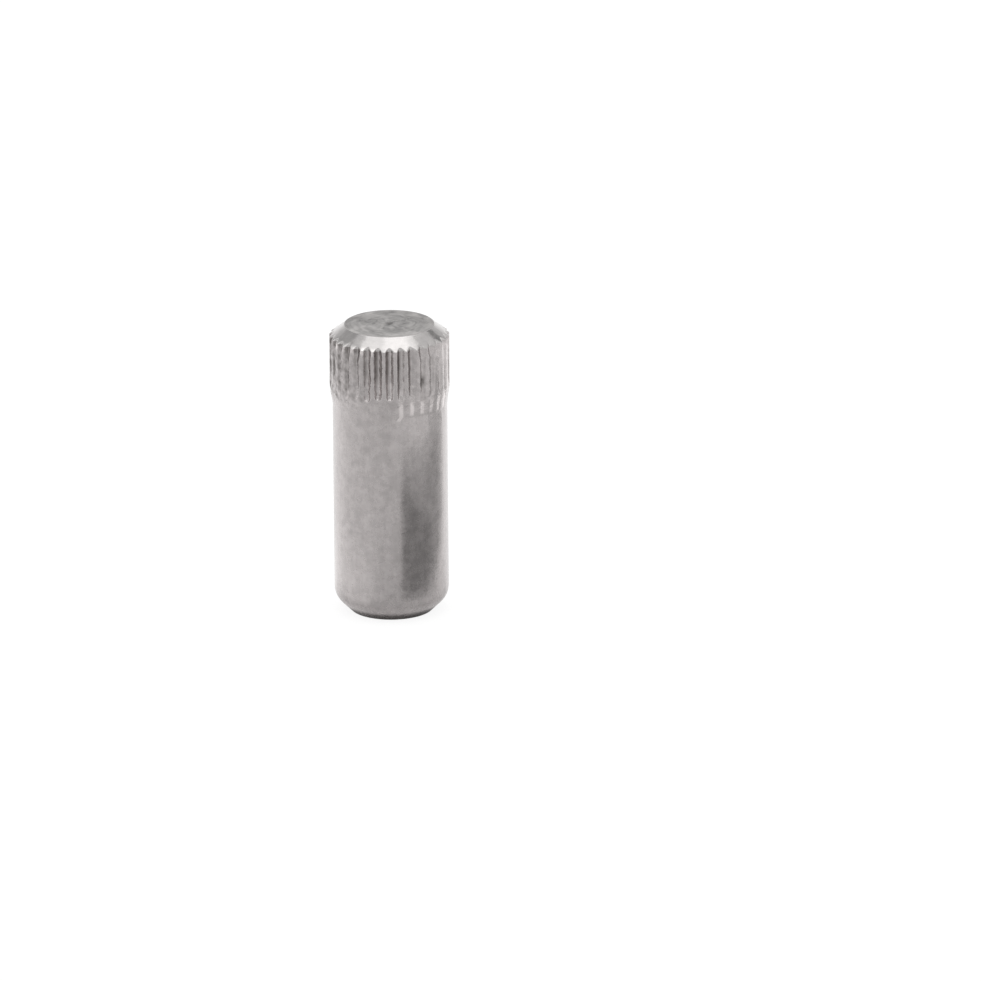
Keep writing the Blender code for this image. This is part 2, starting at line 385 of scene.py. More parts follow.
TIP_EDGE = 0.85  # of the way from a groove's root to its edge
SIDE_SHINE_ROUND_THE_PIN = ((50, 64, 100, 130), (0, 0.6, 0.6, 0))

# The tails' shine is partly burnish and partly painted highlight; the end walls' shine is painted highlight.
tail_shine = has_tail * span(along_tail, *TAIL_SHINE_SPAN)
tail_shine = tail_shine * (1 + BRIGHTEST_TAIL_EXTRA * is_groove_at(BRIGHTEST_TAIL_DEGREES))
end_shine = tail_shine + END_WALL_SHINE * ~has_tail * span(past_end, *END_WALL_SPAN)
# Painted highlights on the right walls of the front grooves.
wall_shine = at_each_groove(WALL_SHINE_ROUND_THE_PIN) * smooth_step(below, *WALL_SHINE_RISE)
wall_shine = wall_shine * smooth_step(past_end, *WALL_SHINE_FALL)
# Painted highlights on the tips of the teeth on the left.
tip_shine = (at_each_groove(TIP_SHINE_ROUND_THE_PIN) * span(below, *TIP_SPAN))[:, :, None]
shine_in_groove = end_shine[:, :, None] * smooth_step(np.abs(groove_across), *TAIL_SHINE_EDGE)
shine_in_groove = shine_in_groove + tip_shine * (np.abs(ACROSS_GROOVE) > TIP_EDGE)
shine_in_groove = shine_in_groove + wall_shine[:, :, None] * WALL_SHINE_ACROSS_GROOVE
burnish_and_highlight = all_columns(shine_in_groove, tip_shine)
# A painted highlight over the whole right side.
burnish_and_highlight = burnish_and_highlight + on_knurl * np.interp(degrees_right, *SIDE_SHINE_ROUND_THE_PIN)

# The rolled steel is slightly uneven all over, most of all on its left and where the roller lifted,
# and the crests have small nicks. Each bigger dent is given by its degrees to the right of the
# front, and in millimetres how far below the top, how long, how wide and how deep it is.
UNEVENNESS, UNEVEN_LEFT_SIDE, TORN_UNEVENNESS = 0.0035 * MM, 0.007 * MM, 0.008 * MM
ROLLED_RELIEF = ((1.0, 0.55 * MM), (0.6, 0.28 * MM))
TORN_RELIEF = ((1.0, 0.27 * MM),)
WAVES_IN_RELIEF = 36
ROLLED_TO = (4.3 * MM, 3.6 * MM)  # below the top
UNEVEN_FROM = (0.4 * MM, 0.75 * MM)  # below the top
TORN_SPAN = (2.5 * MM, 2.9 * MM, 3.3 * MM, 3.8 * MM)
LEFT_SIDE_ANGLE, LEFT_SIDE_REACH = math.radians(-145), (0.6, 0.95)
TORN_SIDE_ANGLE, TORN_SIDE_REACH = math.radians(-50), (0.3, 0.9)
LEAST_TORN = 0.45
NICKS = 70
NICK_HIGHEST, NICK_COMMONEST, NICK_LOWEST = 0.7 * MM, 3.0 * MM, 3.5 * MM  # below the top
NICK_LENGTHS, NICK_WIDTHS = (0.05 * MM, 0.16 * MM), (0.05 * MM, 0.1 * MM)
NICK_DEPTHS = (0.01 * MM, 0.035 * MM)
DENTS = (
    (34, 2.4, 0.28, 0.1, 0.09),
    (45, 3.0, 0.09, 0.07, 0.03),
    (57, 2.85, 0.07, 0.09, 0.03),
    (66, 3.1, 0.1, 0.06, 0.03),
    (-28, 3.3, 0.1, 0.06, 0.04),
)
DENT_SHADE = 10  # for each millimetre of depth


def uneven(layers):
    """A smooth random relief of (strength, wavelength) layers, each mostly within its strength."""
    relief = 0
    for strength, wavelength in layers:
        around = np.round(random.normal(0, math.tau * SHANK_RADIUS / wavelength, WAVES_IN_RELIEF))
        along = random.normal(0, math.tau / wavelength, WAVES_IN_RELIEF)
        phases = random.uniform(0, math.tau, WAVES_IN_RELIEF)
        waves = 0
        for turns, rise, phase in zip(around, along, phases):
            waves = waves + np.cos(turns * angle + rise * height + phase)
        relief = relief + strength * waves / math.sqrt(WAVES_IN_RELIEF / 2)
    return relief


def dent_shape(dent_angle, dent_below, length, width):
    """A dent's depth as a share of the most, which it has at its middle."""
    across = ((angle - dent_angle + math.pi) % math.tau - math.pi) * SHANK_RADIUS / width
    return np.exp(-(across**2) - ((below - dent_below) / length) ** 2)


left_side = smooth_step(np.cos(angle - LEFT_SIDE_ANGLE), *LEFT_SIDE_REACH)
torn_side = smooth_step(np.cos(angle - TORN_SIDE_ANGLE), *TORN_SIDE_REACH)
torn = span(below, *TORN_SPAN) * (LEAST_TORN + (1 - LEAST_TORN) * torn_side)
relief = (UNEVENNESS + UNEVEN_LEFT_SIDE * left_side) * smooth_step(below, *ROLLED_TO) * uneven(ROLLED_RELIEF)
relief += TORN_UNEVENNESS * torn * uneven(TORN_RELIEF)
# Darker blotches over the knurl, heaviest on its left.
blotches = np.clip(BLOTCH_MEAN + uneven(BLOTCH_LAYERS), 0, BLOTCH_MOST)
painted_shade_and_blotches = painted_shade_and_blotches + on_knurl * blotches * np.interp(degrees_right, *BLOTCHES_ROUND_THE_PIN)
for _ in range(NICKS):
    nick_angle = random.uniform(0, math.tau)
    nick_below = random.triangular(NICK_HIGHEST, NICK_COMMONEST, NICK_LOWEST)
    nick_length = random.uniform(*NICK_LENGTHS)
    nick_width = random.uniform(*NICK_WIDTHS)
    nick_depth = random.uniform(*NICK_DEPTHS)
    relief -= nick_depth * dent_shape(nick_angle, nick_below, nick_length, nick_width)
for degrees, dent_below, dent_length, dent_width, dent_depth in DENTS:
    dent_angle = math.radians(degrees - 90)
    dent = dent_shape(dent_angle, dent_below * MM, dent_length * MM, dent_width * MM)
    relief -= dent_depth * MM * dent
    # Painted shade in each dent.
    painted_shade_and_blotches = painted_shade_and_blotches + DENT_SHADE * dent_depth * dent
radius = np.minimum(radius + relief * smooth_step(below, *UNEVEN_FROM), CREST_RADIUS)

# Each end face is faced off flat, which leaves fine uneven rings, and has a small dimple at its
# centre. The shank and the foot need fewer columns of points, and the end faces fewer still.
SHANK_COLUMNS = COLUMNS // 3
FACE_COLUMNS = COLUMNS // 6
FACE_RING_SPACING = 0.05 * MM
DIMPLE_RADIUS = 0.25 * MM
DIMPLE_DEPTH = 0.06 * MM
DIMPLE_CURVE = 0.8
DIMPLE_RINGS = 6
DIMPLE_FIRST_RING = 0.04 * MM
FACING_RELIEF = 0.0016 * MM
FACING_WAVES = 30
FACING_WAVELENGTHS = (0.28 * MM, 0.75 * MM)
FACING_TURNS_MOST = 4
FACING_LIMIT = 1.5  # no mark is deeper or higher
PLAIN_RIM = 0.3 * MM  # the outermost ring, where the marks fade out


def facing_marks(radii, angles):
    """The uneven rings that the facing tool left on an end face, mostly within one up and one down."""
    marks = np.zeros(np.broadcast(radii, angles).shape)
    for _ in range(FACING_WAVES):
        wavelength = random.uniform(*FACING_WAVELENGTHS)
        turns = random.integers(-FACING_TURNS_MOST, FACING_TURNS_MOST + 1)
        marks += np.cos(math.tau * radii / wavelength + turns * angles + random.uniform(0, math.tau))
    return marks / math.sqrt(FACING_WAVES / 2)


def end_face(outer_radius, start_angle):
    """An end face's rings of points, from the centre out, as their radii, angles and depths."""
    rings_in_face = round((outer_radius - DIMPLE_RADIUS) / FACE_RING_SPACING)
    radii = np.concatenate([
        np.linspace(DIMPLE_FIRST_RING, DIMPLE_RADIUS, DIMPLE_RINGS),
        np.linspace(DIMPLE_RADIUS, outer_radius - FACE_RING_SPACING, rings_in_face)[1:],
    ])[:, None]
    angles = start_angle + math.tau * np.arange(FACE_COLUMNS)[None, :] / FACE_COLUMNS
    marked = smooth_step(outer_radius - radii, 0, PLAIN_RIM) * smooth_step(radii, 0, DIMPLE_RADIUS)
    marks = np.clip(facing_marks(radii, angles), -FACING_LIMIT, FACING_LIMIT)
    depth = DIMPLE_DEPTH * (1 - np.clip(radii / DIMPLE_RADIUS, 0, 1)) ** DIMPLE_CURVE
    depth = depth + FACING_RELIEF * (FACING_LIMIT - marks) * marked
    return radii + 0 * angles, angles + 0 * radii, depth


def ring_points(radii, angles, heights):
    """A ring of points round the axis."""
    heights = np.broadcast_to(heights, angles.shape)
    return np.stack([radii * np.cos(angles), radii * np.sin(angles), heights], axis=-1)


# The rings of points run from the middle of the top face, over the rim, down the side and in to the
# middle of the foot. Each has the finish of the faces that follow it.
FACED, TURNED, ROLLED = 0, 1, 2
CHAMFER_MARGIN = 0.01 * MM  # how far above its corner the chamfer's finish ends

rings = [np.array([[0, 0, pin_length - DIMPLE_DEPTH]])]
finishes = [FACED]
for radii, angles, depths in zip(*end_face(knurl_rows[0, 0], angle[0, 0])):
    rings.append(ring_points(radii, angles, pin_length - depths))
    finishes.append(FACED)
first_knurl_ring = len(rings)
for i, height_here in enumerate(knurl_rows[:, 1]):
    rings.append(ring_points(radius[i], angle[i], height_here))
    on_face = height_here > pin_length - HAIR
    on_chamfer = height_here > head_corner_z + CHAMFER_MARGIN
    finishes.append(FACED if on_face else TURNED if on_chamfer else ROLLED)
shank_angle = angle[-1, :: COLUMNS // SHANK_COLUMNS]
for radius_here, height_here in shank_rows:
    rings.append(ring_points(radius_here, shank_angle, height_here))
    finishes.append(ROLLED if height_here > HAIR else FACED)
for radii, angles, depths in list(zip(*end_face(shank_rows[-1, 0], shank_angle[0])))[::-1]:
    rings.append(ring_points(radii, angles, depths))
    finishes.append(FACED)
rings.append(np.array([[0, 0, DIMPLE_DEPTH]]))


def band_faces(upper, lower, upper_start, lower_start):
    """The faces between two rings of points, where one ring may have more points than the other."""
    if upper == lower:
        here = np.arange(upper)
        after = (here + 1) % upper
        columns = (upper_start + here, lower_start + here, lower_start + after, upper_start + after)
        return np.stack(columns, axis=1).tolist()
    coarse, fine = min(upper, lower), max(upper, lower)
    if coarse == 1:
        rim = [(here, (here + 1) % fine) for here in range(fine)]
        if upper == 1:
            return [[upper_start, lower_start + here, lower_start + after] for here, after in rim]
        return [[upper_start + here, lower_start, upper_start + after] for here, after in rim]
    faces = []
    each = fine // coarse
    for i in range(coarse):
        fine_run = [(i * each + step) % fine for step in range(each + 1)]
        coarse_run = [i, (i + 1) % coarse]
        if upper < lower:
            faces.append([upper_start + coarse_run[0]] + [lower_start + f for f in fine_run]
                         + [upper_start + c for c in coarse_run[1:]])
        else:
            faces.append([upper_start + fine_run[0]] + [lower_start + c for c in coarse_run]
                         + [upper_start + f for f in fine_run[:0:-1]])
    return faces


starts = np.cumsum([0] + [len(ring) for ring in rings])
faces, face_finishes = [], []
for i in range(len(rings) - 1):
    band = band_faces(len(rings[i]), len(rings[i + 1]), int(starts[i]), int(starts[i + 1]))
    faces += band
    face_finishes += [finishes[i]] * len(band)

pin_mesh = bpy.data.meshes.new("pin")
pin_mesh.from_pydata(np.concatenate(rings).tolist(), [], faces)
pin_mesh.polygons.foreach_set("material_index", face_finishes)
pin_mesh.validate()
pin_mesh.shade_smooth()
knurl_points = slice(int(starts[first_knurl_ring]), int(starts[first_knurl_ring + len(knurl_rows)]))
# The painted shade and blotches, and the burnish and painted highlights, are kept on the knurl's points.
for name, knurl_values in (("painted_shade_and_blotches", np.minimum(painted_shade_and_blotches, 1)), ("burnish_and_highlight", burnish_and_highlight)):
    values = np.zeros(len(pin_mesh.vertices), np.float32)
    values[knurl_points] = knurl_values.ravel()
    pin_mesh.attributes.new(name, "FLOAT", "POINT").data.foreach_set("value", values)
pin = bpy.data.objects.new("pin", pin_mesh)
bpy.context.scene.collection.objects.link(pin)

# Every finish is the same steel. The end faces are duller, show the facing tool's rings and have
# painted light towards the front, the chamfer is brighter, and the side is satin, with small pits.
# The side has painted shade in the grooves, and the side and chamfer have painted highlights. Places in the
# finishes are in millimetres.
STEEL = (0.462, 0.434, 0.43, 1)
# The dark colour of the painted shade and blotches.
SHADED_STEEL = (0.15, 0.138, 0.132, 1)
FACED_STEEL = (0.335, 0.322, 0.315)
TURNED_STEEL = (0.5, 0.483, 0.476)
MOST_BURNISH_AND_HIGHLIGHT, MOST_HIGHLIGHT_SHADE = 2.0, 1.8
ALL_OF_NOISE, MOST_OF_NOISE, MIDDLE_OF_NOISE = (0.0, 1.0), (0.25, 0.75), (0.3, 0.7)


def add_node(tree, kind, inputs, **settings):
    """A new node with its settings, whose inputs take values or other nodes' outputs."""
    made = tree.nodes.new(kind)
    for name, value in settings.items():
        setattr(made, name, value)
    for name, value in inputs.items():
        if isinstance(value, bpy.types.NodeSocket):
            tree.links.new(value, made.inputs[name])
        else:
            made.inputs[name].default_value = value
    return made


def scaled(tree, place, factors):
    """A place multiplied by a factor along each axis."""
    return add_node(tree, "ShaderNodeVectorMath", {0: place, 1: factors}, operation="MULTIPLY").outputs[0]


def length_of(tree, place):
    """How far a place is from the middle of its object."""
    return add_node(tree, "ShaderNodeVectorMath", {0: place}, operation="LENGTH").outputs["Value"]


def direction_of(tree, place):
    """The direction of a place from the middle of its object, as a place one away from it."""
    return add_node(tree, "ShaderNodeVectorMath", {0: place}, operation="NORMALIZE").outputs[0]


def new_steel(name):
    """A steel with no finish yet, its node tree, its shader and the place on the pin in millimetres."""
    material = bpy.data.materials.new(name)
    material.use_nodes = True
    tree = material.node_tree
    shader = tree.nodes["Principled BSDF"]
    shader.inputs["Metallic"].default_value = 1
    metres = add_node(tree, "ShaderNodeTexCoord", {}).outputs["Object"]
    return material, tree, shader, scaled(tree, metres, (1 / MM,) * 3)


def noise(tree, place, scale=1.0, detail=2.0, roughness=0.5, distortion=0.0):
    """A noise from 0 to 1."""
    inputs = {
        "Vector": place, "Scale": scale, "Detail": detail,
        "Roughness": roughness, "Distortion": distortion,
    }
    return add_node(tree, "ShaderNodeTexNoise", inputs).outputs["Fac"]


def ranged(tree, value, low, high, from_low=0.0, from_high=1.0):
    """The value carried from one range to another, and held inside it."""
    inputs = {"Value": value, "From Min": from_low, "From Max": from_high, "To Min": low, "To Max": high}
    return add_node(tree, "ShaderNodeMapRange", inputs).outputs["Result"]


def combined(tree, operation, *values):
    """The values added, multiplied or subtracted, one after the other."""
    result = values[0]
    for value in values[1:]:
        result = add_node(tree, "ShaderNodeMath", {0: result, 1: value}, operation=operation).outputs[0]
    return result


def tinted(tree, colour, factor):
    """A colour made lighter or darker by a factor."""
    return add_node(tree, "ShaderNodeVectorMath", {0: colour, "Scale": factor}, operation="SCALE").outputs[0]


def shade_of(tree, layers):
    """A shade that varies round 1, from (noise, strength, the noise's usual range) layers."""
    shades = [ranged(tree, layer, -strength, strength, *usual) for layer, strength, usual in layers]
    return combined(tree, "ADD", 1, *shades)


def attribute(tree, name):
    """The value that the mesh's points hold by this name."""
    return add_node(tree, "ShaderNodeAttribute", {}, attribute_name=name).outputs["Fac"]


def highlighted_shade(tree, shade):
    """A shade made brighter where the steel is burnished and where highlights are painted."""
    shine = ranged(tree, attribute(tree, "burnish_and_highlight"), 1.0, MOST_HIGHLIGHT_SHADE, 0.0, MOST_BURNISH_AND_HIGHLIGHT)
    return combined(tree, "MULTIPLY", shade, shine)


def bumped(tree, shader, layers):
    """Gives the shader a relief made of (height from 0 to 1, depth in metres) layers."""
    normal = None
    for layer, depth in layers:
        inputs = {"Height": layer, "Distance": depth, "Strength": 1.0}
        if normal:
            inputs["Normal"] = normal
        normal = add_node(tree, "ShaderNodeBump", inputs).outputs["Normal"]
    tree.links.new(normal, shader.inputs["Normal"])


def polar_place(tree, place, turns, rings_per_mm):
    """A place that changes slowly round the axis and quickly with the distance from it."""
    flat = scaled(tree, place, (1, 1, 0))
    around = scaled(tree, direction_of(tree, flat), (turns, turns, 0))
    rings = combined(tree, "MULTIPLY", length_of(tree, flat), rings_per_mm)
    outward = add_node(tree, "ShaderNodeCombineXYZ", {"Z": rings}).outputs[0]
    return add_node(tree, "ShaderNodeVectorMath", {0: around, 1: outward}, operation="ADD").outputs[0]


def faced_steel():
    """The end faces: dull, with broken rings from the facing tool and a dark mark at the centre.

    They have painted light towards the front."""
    centre_shade, centre_edge = 0.5, (0.08, 0.34)
    front_shade, front_edge = 1.22, (-1.9, -0.5)
    smoothest, roughest = 0.3, 0.42
    material, tree, shader, place = new_steel("faced_steel")
    cloud = noise(tree, place, scale=1.5, detail=3)
    broken_rings = polar_place(tree, place, turns=1.8, rings_per_mm=2.4)
    arcs = noise(tree, broken_rings, detail=3, roughness=0.6, distortion=0.9)
    lines = noise(tree, polar_place(tree, place, turns=0.8, rings_per_mm=16))
    shade = shade_of(tree, [
        (arcs, 0.38, MIDDLE_OF_NOISE),
        (cloud, 0.22, MIDDLE_OF_NOISE),
        (lines, 0.03, ALL_OF_NOISE),
    ])
    from_centre = length_of(tree, scaled(tree, place, (1, 0.6, 0)))
    centre = ranged(tree, from_centre, centre_shade, 1.0, *centre_edge)
    # Painted light: the face is lighter towards the front.
    back = add_node(tree, "ShaderNodeSeparateXYZ", {0: place}).outputs["Y"]
    painted_front_light = ranged(tree, back, front_shade, 1.0, *front_edge)
    shade = combined(tree, "MULTIPLY", shade, painted_front_light, centre)
    tree.links.new(tinted(tree, FACED_STEEL, shade), shader.inputs["Base Color"])
    tree.links.new(ranged(tree, cloud, smoothest, roughest), shader.inputs["Roughness"])
    bumped(tree, shader, [(arcs, 0.02 * MM), (lines, 0.002 * MM)])
    return material


def turned_steel():
    """The chamfer at the head: the brightest finish, with fine lines from the tool all round it."""
    smoothest, roughest = 0.12, 0.2
    material, tree, shader, place = new_steel("turned_steel")
    lines = noise(tree, polar_place(tree, place, turns=0.7, rings_per_mm=20))
    cloud = noise(tree, place, scale=2.5)
    shade = shade_of(tree, [(lines, 0.04, ALL_OF_NOISE), (cloud, 0.06, MIDDLE_OF_NOISE)])
    tree.links.new(tinted(tree, TURNED_STEEL, highlighted_shade(tree, shade)), shader.inputs["Base Color"])
    tree.links.new(ranged(tree, cloud, smoothest, roughest), shader.inputs["Roughness"])
    bumped(tree, shader, [(lines, 0.0012 * MM), (cloud, 0.006 * MM)])
    return material


def rolled_steel():
    """The side: satin and slightly cloudy, with pits and faint lines along it, painted shade in the grooves
    and painted highlights.
    """
    pitted_cells, pit_edge, pit_shade = (0.62, 0.66), (0.03, 0.11), 0.14
    least_darkening, most_darkening, darkened_roughness = 0.75, 1.15, 0.12
    smoothest, roughest = 0.22, 0.32
    material, tree, shader, place = new_steel("rolled_steel")
    cloud = noise(tree, place, scale=2.1, detail=4, roughness=0.6)
    grain = noise(tree, place, scale=6.5)
    streaks = noise(tree, scaled(tree, place, (7, 7, 0.7)))
    cells = add_node(tree, "ShaderNodeTexVoronoi", {"Vector": place, "Scale": 1.7}).outputs
    is_pitted = ranged(tree, cells["Color"], 0.0, 1.0, *pitted_cells)
    pits = combined(tree, "MULTIPLY", ranged(tree, cells["Distance"], 1.0, 0.0, *pit_edge), is_pitted)
    uneven_darkening = ranged(tree, cloud, least_darkening, most_darkening, *MIDDLE_OF_NOISE)
    # Painted shade and blotches darken the steel towards its dark colour.
    painted_shade_and_blotches = combined(tree, "MULTIPLY", attribute(tree, "painted_shade_and_blotches"), uneven_darkening)
    colours = {0: painted_shade_and_blotches, 6: STEEL, 7: SHADED_STEEL}
    clean_or_shaded = add_node(tree, "ShaderNodeMix", colours, data_type="RGBA").outputs[2]
    shade = shade_of(tree, [
        (cloud, 0.12, MIDDLE_OF_NOISE),
        (grain, 0.035, MOST_OF_NOISE),
        (streaks, 0.04, MOST_OF_NOISE),
    ])
    shade = combined(tree, "SUBTRACT", shade, ranged(tree, pits, 0.0, pit_shade))
    tree.links.new(tinted(tree, clean_or_shaded, highlighted_shade(tree, shade)), shader.inputs["Base Color"])
    roughness = ranged(tree, cloud, smoothest, roughest, *MIDDLE_OF_NOISE)
    roughness = combined(tree, "ADD", roughness, ranged(tree, painted_shade_and_blotches, 0.0, darkened_roughness))
    tree.links.new(roughness, shader.inputs["Roughness"])
    bumped(tree, shader, [(cloud, 0.008 * MM), (grain, 0.0014 * MM), (pits, -0.006 * MM)])
    return material


pin_mesh.materials.append(faced_steel())
pin_mesh.materials.append(turned_steel())
pin_mesh.materials.append(rolled_steel())

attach(pin, "root")
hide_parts("knurled_pin")


# The pin stands on a sheet of white card. The picture shows it as plain white, with only a soft
# shadow where the pin stands. What the steel reflects of it has painted light and shade: it glows behind,
# beside and close round the pin, with a painted shadow under the foot and painted shade in front. Distances
# are from the pin's axis.
FLOOR_SIZE = 3000 * MM
FLOOR_DROP = 0.005 * MM  # keeps the card clear of the foot
FLOOR_GREY = 0.9
FLOOR_SHADOW_SHARE = 0.2
FLOOR_GLOW = 0.87
REFLECTED_GREY = 0.81
CONTACT_SHADE, CONTACT_EDGE = 0.56, (2.35 * MM, 2.44 * MM)
FRONT_SHADE, FRONT_DIRECTIONS = 0.84, (-0.97, -0.82)
FRONT_SHADE_RISE, FRONT_SHADE_FALL = (4 * MM, 7.5 * MM), (11 * MM, 18 * MM)
GLOW_AT_LEFT, LEFT_DIRECTIONS = 0.26, (-0.8, -0.2)
GLOW_FAR_LEFT, LEFT_GLOW_FALL = 0.045, (7 * MM, 18 * MM)
GLOW_SHARE_NEAR_LEFT, LEFT_GLOW_RISE = 0.2, (3 * MM, 8 * MM)
GLOW_AT_RIGHT, RIGHT_DIRECTIONS, RIGHT_GLOW_RISE = 0.1, (0.15, 0.5), (8 * MM, 30 * MM)
GLOW_BEHIND, BEHIND_DIRECTIONS, BEHIND_CURVE = 0.42, (-1.0, 0.6), 2.0
GLOW_AT_FOOT = 0.3
FOOT_GLOW_RISE, FOOT_GLOW_FALL = (2.37 * MM, 2.46 * MM), (2.5 * MM, 3.4 * MM)

floor_mesh = bpy.data.meshes.new("floor")
half = FLOOR_SIZE / 2
floor_corners = [(-half, -half, 0), (half, -half, 0), (half, half, 0), (-half, half, 0)]
floor_mesh.from_pydata(floor_corners, [], [(0, 1, 2, 3)])
floor = bpy.data.objects.new("floor", floor_mesh)
floor.location.z = -FLOOR_DROP
bpy.context.scene.collection.objects.link(floor)


def reflected_card(tree):
    """The card as the steel reflects it and as it lights the steel, with painted shade and painted glow."""
    place = add_node(tree, "ShaderNodeTexCoord", {}).outputs["Object"]
    from_pin = length_of(tree, place)
    round_pin = add_node(tree, "ShaderNodeSeparateXYZ", {0: direction_of(tree, place)}).outputs
    right, back = round_pin["X"], round_pin["Y"]

    # Painted shade on the card in front of the pin.
    painted_front_shade = combined(
        tree, "MULTIPLY",
        ranged(tree, back, 1.0, 0.0, *FRONT_DIRECTIONS),
        ranged(tree, from_pin, 0.0, 1.0, *FRONT_SHADE_RISE),
        ranged(tree, from_pin, 1.0, 0.0, *FRONT_SHADE_FALL),
    )
    # A painted contact shadow under the foot.
    painted_contact_shadow = ranged(tree, from_pin, CONTACT_SHADE, 1.0, *CONTACT_EDGE)
    shade = combined(tree, "MULTIPLY", painted_contact_shadow, ranged(tree, painted_front_shade, 1.0, FRONT_SHADE))
    surface = add_node(tree, "ShaderNodeBsdfDiffuse", {"Color": tinted(tree, (REFLECTED_GREY,) * 3, shade)})

    # Painted light: the card glows behind the pin, round its foot, to its left and to its right.
    share_behind = ranged(tree, back, 0.0, 1.0, *BEHIND_DIRECTIONS)
    behind = combined(tree, "MULTIPLY", combined(tree, "POWER", share_behind, BEHIND_CURVE), GLOW_BEHIND)
    at_foot = combined(
        tree, "MULTIPLY",
        ranged(tree, from_pin, 0.0, GLOW_AT_FOOT, *FOOT_GLOW_RISE),
        ranged(tree, from_pin, 1.0, 0.0, *FOOT_GLOW_FALL),
    )
    at_left = combined(
        tree, "MULTIPLY",
        ranged(tree, right, 1.0, 0.0, *LEFT_DIRECTIONS),
        ranged(tree, from_pin, GLOW_AT_LEFT, GLOW_FAR_LEFT, *LEFT_GLOW_FALL),
        ranged(tree, from_pin, GLOW_SHARE_NEAR_LEFT, 1.0, *LEFT_GLOW_RISE),
    )
    at_right = combined(
        tree, "MULTIPLY",
        ranged(tree, right, 0.0, GLOW_AT_RIGHT, *RIGHT_DIRECTIONS),
        ranged(tree, from_pin, 0.0, 1.0, *RIGHT_GLOW_RISE),
    )
    all_glow = combined(tree, "ADD", behind, at_foot, at_left, at_right)
    glow = add_node(tree, "ShaderNodeEmission", {"Strength": all_glow})
    return add_node(tree, "ShaderNodeAddShader", {0: surface.outputs[0], 1: glow.outputs[0]})


def seen_card(tree):
    """The card as the picture shows it: white, with a soft shadow."""
    seen_grey = FLOOR_GREY * FLOOR_SHADOW_SHARE
    surface = add_node(tree, "ShaderNodeBsdfDiffuse", {"Color": (seen_grey, seen_grey, seen_grey, 1)})
    glow = add_node(tree, "ShaderNodeEmission", {"Strength": FLOOR_GLOW})
    return add_node(tree, "ShaderNodeAddShader", {0: surface.outputs[0], 1: glow.outputs[0]})


def white_card():
    """White card, which shows in the picture as white and in the steel with its painted shade and glow."""
    material = bpy.data.materials.new("white_card")
    material.use_nodes = True
    tree = material.node_tree
    tree.nodes.clear()
    is_seen = add_node(tree, "ShaderNodeLightPath", {}).outputs["Is Camera Ray"]
    shaders = {0: is_seen, 1: reflected_card(tree).outputs[0], 2: seen_card(tree).outputs[0]}
    chosen = add_node(tree, "ShaderNodeMixShader", shaders)
    add_node(tree, "ShaderNodeOutputMaterial", {"Surface": chosen.outputs[0]})
    return material


floor_mesh.materials.append(white_card())


# The studio is a white room with a softbox straight above the pin, which is brightest a little to
# the right. Dark cards that glow at their shade stand round it out of the picture and show only in
# the steel, as painted dark reflections. Each part of the softbox has its millimetres to the right, height,
# width and watts.
SOFTBOX_PARTS = {"softbox": (0, 400, 400, 0.31), "softbox_middle": (45, 390, 170, 0.075)}
SOFTBOX_LENGTH = 400 * MM
SOFTBOX_BEHIND = 20 * MM

for name, (to_right, lamp_height, width, watts) in SOFTBOX_PARTS.items():
    lamp = bpy.data.lights.new(name, "AREA")
    lamp.shape = "RECTANGLE"
    lamp.size = width * MM
    lamp.size_y = SOFTBOX_LENGTH
    lamp.energy = watts
    softbox = bpy.data.objects.new(name, lamp)
    softbox.location = (to_right * MM, SOFTBOX_BEHIND, lamp_height * MM)
    bpy.context.scene.collection.objects.link(softbox)

# The two back cards are far behind the pin. Each is given by the degrees from the front, going
# round by the right, the degrees up, how many degrees it is wide and high, and its shade.
BACK_CARDS = {
    "back_card_right": (140, 32, 9, 14, 0.3),
    "back_card_left": (226, 38, 24, 26, 0.56),
}
BACK_CARD_DISTANCE = 600 * MM


def dark_card(name, points, shade):
    """A card that glows at its shade and only the steel's reflections show, a painted dark reflection, from
    its lower and upper edge's points.
    """
    mesh = bpy.data.meshes.new(name)
    count = len(points)
    corners = [low for low, _ in points] + [high for _, high in points]
    mesh.from_pydata(corners, [], [(i, i + 1, count + i + 1, count + i) for i in range(count - 1)])
    board = bpy.data.objects.new(name, mesh)
    paint = bpy.data.materials.new(name)
    paint.use_nodes = True
    paint.node_tree.nodes.clear()
    surface = add_node(paint.node_tree, "ShaderNodeEmission", {"Color": (shade, shade, shade, 1)})
    add_node(paint.node_tree, "ShaderNodeOutputMaterial", {"Surface": surface.outputs[0]})
    mesh.materials.append(paint)
    board.visible_camera = False
    board.visible_diffuse = False
    board.visible_shadow = False
    bpy.context.scene.collection.objects.link(board)


def towards(degrees_round, degrees_up, distance):
    """A place as seen from the pin: degrees round from the front by the right, and degrees up."""
    across, up = math.radians(degrees_round), math.radians(degrees_up)
    return (
        distance * math.sin(across) * math.cos(up),
        -distance * math.cos(across) * math.cos(up),
        distance * math.sin(up),
    )


for name, (degrees_round, degrees_up, degrees_wide, degrees_high, shade) in BACK_CARDS.items():
    low, high = degrees_up - degrees_high / 2, degrees_up + degrees_high / 2
    sides = (degrees_round - degrees_wide / 2, degrees_round + degrees_wide / 2)
    dark_card(name, [[towards(side, up, BACK_CARD_DISTANCE) for up in (low, high)] for side in sides], shade)

